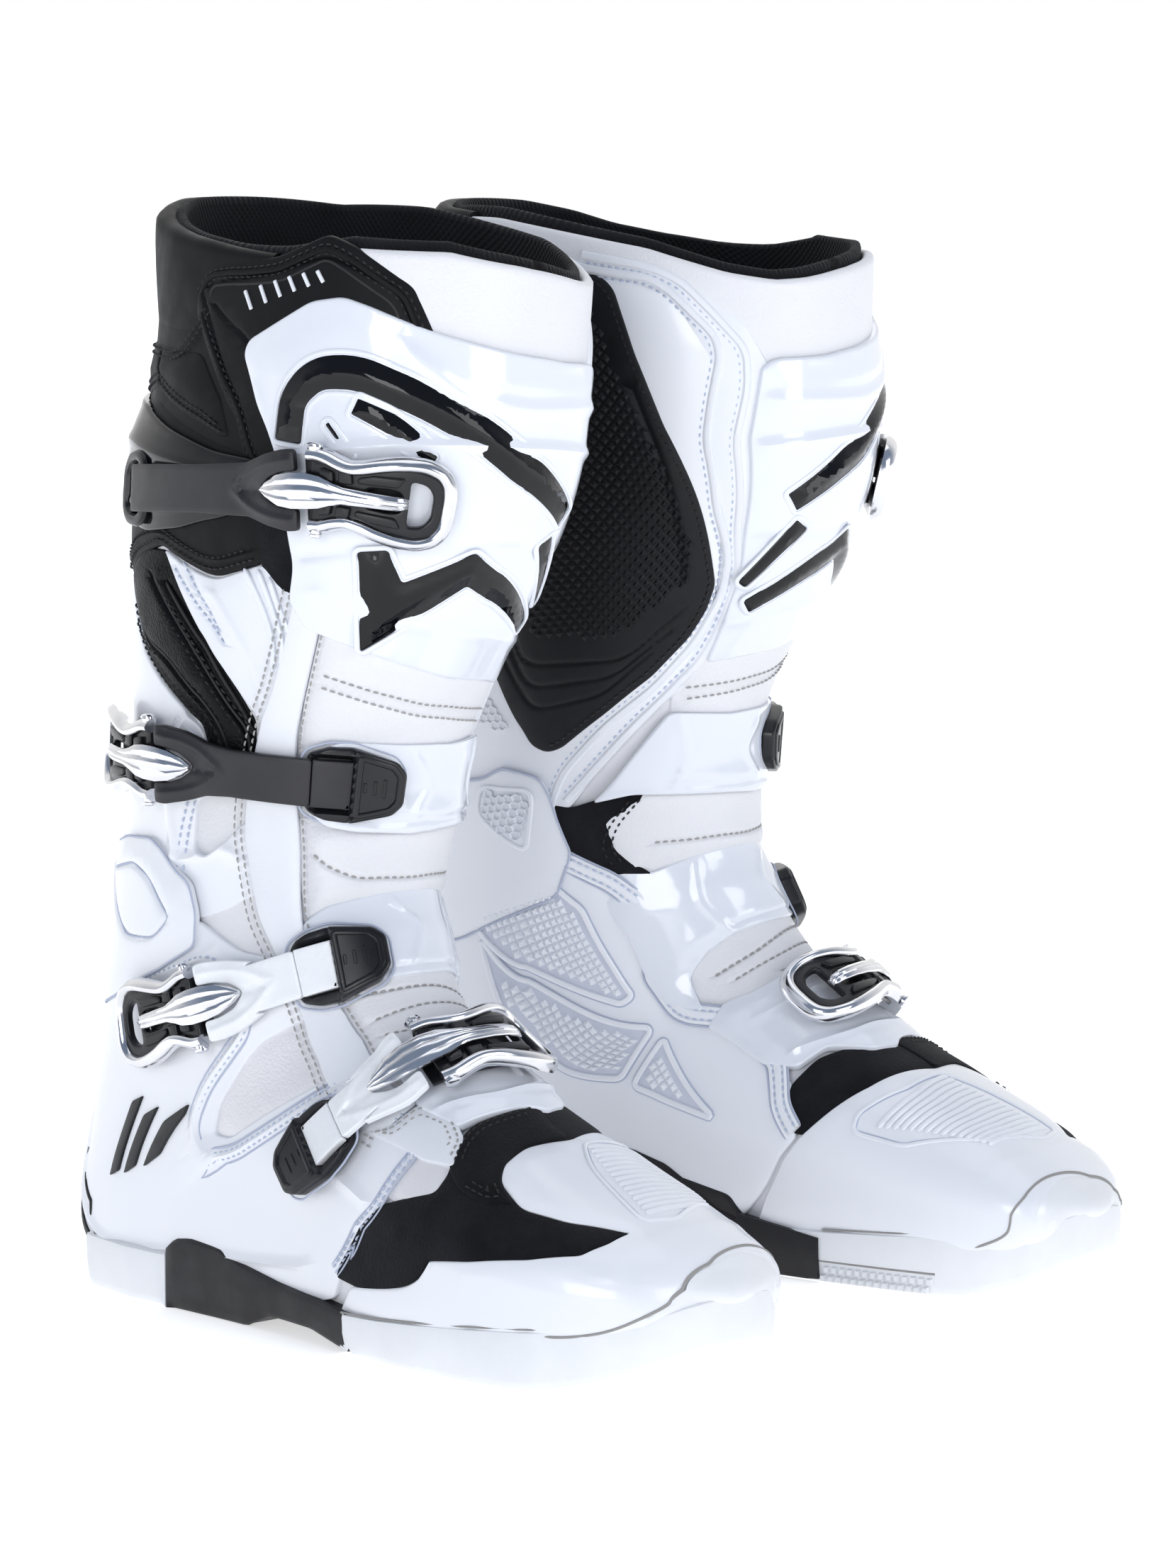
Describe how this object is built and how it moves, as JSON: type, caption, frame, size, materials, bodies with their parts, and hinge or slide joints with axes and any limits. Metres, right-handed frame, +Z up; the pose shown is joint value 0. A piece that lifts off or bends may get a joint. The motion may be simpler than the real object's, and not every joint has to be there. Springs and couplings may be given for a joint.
{
  "type": "motocross riding boots",
  "caption": "Pair of tall off-road riding boots with hinged ankle cuffs, moulded shin and foot guards, and over-centre buckle straps.",
  "frame": {"origin": "on the ground, at the centre of the pair's bounding box", "axes": "+Z up, toes towards -Y, the left boot at +X and the right boot at -X"},
  "size_m": [0.3252, 0.315, 0.4014],
  "materials": {
    "white_shell": "glossy moulded thermoplastic, slight orange peel",
    "white_plate": "high gloss moulded thermoplastic",
    "white_leather": "fine grained coated microfibre leather",
    "black_suede": "napped suede, matte",
    "black_leather": "smooth padded leather, satin",
    "cuff_lining": "open knit mesh",
    "black_plastic": "satin moulded plastic",
    "gloss_black": "glossy moulded plastic",
    "grip_rubber": "matte rubber with raised grip texture",
    "white_rubber": "semi gloss moulded rubber",
    "insert_rubber": "matte rubber",
    "insole_foam": "textile covered foam",
    "strap_black": "satin flexible thermoplastic",
    "strap_white": "satin flexible thermoplastic",
    "buckle_metal": "polished aluminium",
    "thread": "twisted sewing thread"
  },
  "bodies": {
    "feet": {"right_outsole": "white_rubber", "right_footpeg_insert": "insert_rubber", "right_insole": "insole_foam", "right_foot_chassis": "white_shell", "right_foot_upper": "black_suede", "right_toe_cap": "white_shell", "right_ankle_bellows": "white_leather", "right_ankle_plate": "white_plate", "right_instep_plate": "white_plate", "right_ankle_buckle_base": "black_plastic", "right_ankle_strap_holder": "black_plastic", "right_instep_buckle_base": "black_plastic", "right_instep_strap_holder": "black_plastic", "left_outsole": "white_rubber", "left_footpeg_insert": "insert_rubber", "left_insole": "insole_foam", "left_foot_chassis": "white_shell", "left_foot_upper": "black_suede", "left_toe_cap": "white_shell", "left_ankle_bellows": "white_leather", "left_ankle_plate": "white_plate", "left_instep_plate": "white_plate", "left_ankle_buckle_base": "black_plastic", "left_ankle_strap_holder": "black_plastic", "left_instep_buckle_base": "black_plastic", "left_instep_strap_holder": "black_plastic"},
    "right_cuff": {"right_cuff_liner": "cuff_lining", "right_cuff_shell": "white_shell", "right_shin_plate": "white_plate", "right_lower_shin_plate": "white_plate", "right_grip_panel": "grip_rubber", "right_calf_bracket": "gloss_black", "right_calf_buckle_base": "black_plastic", "right_shin_buckle_base": "black_plastic", "right_shin_strap_holder": "black_plastic"},
    "right_calf_lever": {"right_calf_lever": "buckle_metal"},
    "right_calf_strap": {"right_calf_strap": "strap_black"},
    "right_shin_lever": {"right_shin_lever": "buckle_metal"},
    "right_shin_strap": {"right_shin_strap": "strap_black"},
    "right_ankle_lever": {"right_ankle_lever": "buckle_metal"},
    "right_ankle_strap": {"right_ankle_strap": "strap_white"},
    "right_instep_lever": {"right_instep_lever": "buckle_metal"},
    "right_instep_strap": {"right_instep_strap": "strap_white"},
    "left_cuff": {"left_cuff_liner": "cuff_lining", "left_cuff_shell": "white_shell", "left_shin_plate": "white_plate", "left_lower_shin_plate": "white_plate", "left_grip_panel": "grip_rubber", "left_calf_bracket": "gloss_black", "left_calf_buckle_base": "black_plastic", "left_shin_buckle_base": "black_plastic", "left_shin_strap_holder": "black_plastic"},
    "left_calf_lever": {"left_calf_lever": "buckle_metal"},
    "left_calf_strap": {"left_calf_strap": "strap_black"},
    "left_shin_lever": {"left_shin_lever": "buckle_metal"},
    "left_shin_strap": {"left_shin_strap": "strap_black"},
    "left_ankle_lever": {"left_ankle_lever": "buckle_metal"},
    "left_ankle_strap": {"left_ankle_strap": "strap_white"},
    "left_instep_lever": {"left_instep_lever": "buckle_metal"},
    "left_instep_strap": {"left_instep_strap": "strap_white"}
  },
  "joints": [
    {"name": "right_ankle_flex", "type": "hinge", "parent": "feet", "child": "right_cuff", "pos_m": [-0.08843, 0.07798, 0.166], "axis": [0.9942, -0.108, 0], "range_deg": [-10, 17], "deforming": ["right_ankle_bellows"]},
    {"name": "right_calf_lever_hinge", "type": "hinge", "parent": "right_cuff", "child": "right_calf_lever", "pos_m": [-0.15077, -0.00398, 0.30313], "axis": [0.0488, 0.0294, -0.9984], "range_deg": [0, 75]},
    {"name": "right_calf_strap_hinge", "type": "hinge", "parent": "right_cuff", "child": "right_calf_strap", "pos_m": [-0.13811, 0.09891, 0.30019], "axis": [-0.0905, -0.0246, -0.9956], "range_deg": [0, 90]},
    {"name": "right_shin_lever_hinge", "type": "hinge", "parent": "right_cuff", "child": "right_shin_lever", "pos_m": [-0.14017, 0.08941, 0.20211], "axis": [-0.0496, -0.0364, 0.9981], "range_deg": [0, 75]},
    {"name": "right_shin_strap_hinge", "type": "hinge", "parent": "right_cuff", "child": "right_shin_strap", "pos_m": [-0.12867, 0.01767, 0.19731], "axis": [-0.0199, -0.1157, 0.9931], "range_deg": [0, 90]},
    {"name": "right_ankle_lever_hinge", "type": "hinge", "parent": "feet", "child": "right_ankle_lever", "pos_m": [-0.14318, 0.06514, 0.114], "axis": [0.0092, 0.3079, 0.9514], "range_deg": [0, 75]},
    {"name": "right_ankle_strap_hinge", "type": "hinge", "parent": "feet", "child": "right_ankle_strap", "pos_m": [-0.13378, 0.0197, 0.12973], "axis": [0.041, 0.3231, 0.9455], "range_deg": [0, 90]},
    {"name": "right_instep_lever_hinge", "type": "hinge", "parent": "feet", "child": "right_instep_lever", "pos_m": [-0.12723, -0.03676, 0.10608], "axis": [-0.1896, -0.7874, -0.5865], "range_deg": [0, 75]},
    {"name": "right_instep_strap_hinge", "type": "hinge", "parent": "feet", "child": "right_instep_strap", "pos_m": [-0.14857, -0.00898, 0.08024], "axis": [-0.3148, -0.718, -0.6208], "range_deg": [0, 90]},
    {"name": "left_ankle_flex", "type": "hinge", "parent": "feet", "child": "left_cuff", "pos_m": [0.08843, 0.07798, 0.166], "axis": [0.9942, 0.108, 0], "range_deg": [-10, 17], "deforming": ["left_ankle_bellows"]},
    {"name": "left_calf_lever_hinge", "type": "hinge", "parent": "left_cuff", "child": "left_calf_lever", "pos_m": [0.15077, -0.00398, 0.30313], "axis": [0.0488, -0.0294, 0.9984], "range_deg": [0, 75]},
    {"name": "left_calf_strap_hinge", "type": "hinge", "parent": "left_cuff", "child": "left_calf_strap", "pos_m": [0.13811, 0.09891, 0.30019], "axis": [-0.0905, 0.0246, 0.9956], "range_deg": [0, 90]},
    {"name": "left_shin_lever_hinge", "type": "hinge", "parent": "left_cuff", "child": "left_shin_lever", "pos_m": [0.14017, 0.08941, 0.20211], "axis": [-0.0496, 0.0364, -0.9981], "range_deg": [0, 75]},
    {"name": "left_shin_strap_hinge", "type": "hinge", "parent": "left_cuff", "child": "left_shin_strap", "pos_m": [0.12867, 0.01767, 0.19731], "axis": [-0.0199, 0.1157, -0.9931], "range_deg": [0, 90]},
    {"name": "left_ankle_lever_hinge", "type": "hinge", "parent": "feet", "child": "left_ankle_lever", "pos_m": [0.14318, 0.06514, 0.114], "axis": [0.0092, -0.3079, -0.9514], "range_deg": [0, 75]},
    {"name": "left_ankle_strap_hinge", "type": "hinge", "parent": "feet", "child": "left_ankle_strap", "pos_m": [0.13378, 0.0197, 0.12973], "axis": [0.041, -0.3231, -0.9455], "range_deg": [0, 90]},
    {"name": "left_instep_lever_hinge", "type": "hinge", "parent": "feet", "child": "left_instep_lever", "pos_m": [0.12723, -0.03676, 0.10608], "axis": [-0.1896, 0.7874, 0.5865], "range_deg": [0, 75]},
    {"name": "left_instep_strap_hinge", "type": "hinge", "parent": "feet", "child": "left_instep_strap", "pos_m": [0.14857, -0.00898, 0.08024], "axis": [-0.3148, 0.718, 0.6208], "range_deg": [0, 90]}
  ],
  "couplings": [
    {"joint": "right_calf_strap_hinge", "follows": "right_calf_lever_hinge", "ratio": 1.2},
    {"joint": "right_shin_strap_hinge", "follows": "right_shin_lever_hinge", "ratio": 1.2},
    {"joint": "right_ankle_strap_hinge", "follows": "right_ankle_lever_hinge", "ratio": 1.2},
    {"joint": "right_instep_strap_hinge", "follows": "right_instep_lever_hinge", "ratio": 1.2},
    {"joint": "left_calf_strap_hinge", "follows": "left_calf_lever_hinge", "ratio": 1.2},
    {"joint": "left_shin_strap_hinge", "follows": "left_shin_lever_hinge", "ratio": 1.2},
    {"joint": "left_ankle_strap_hinge", "follows": "left_ankle_lever_hinge", "ratio": 1.2},
    {"joint": "left_instep_strap_hinge", "follows": "left_instep_lever_hinge", "ratio": 1.2}
  ]
}
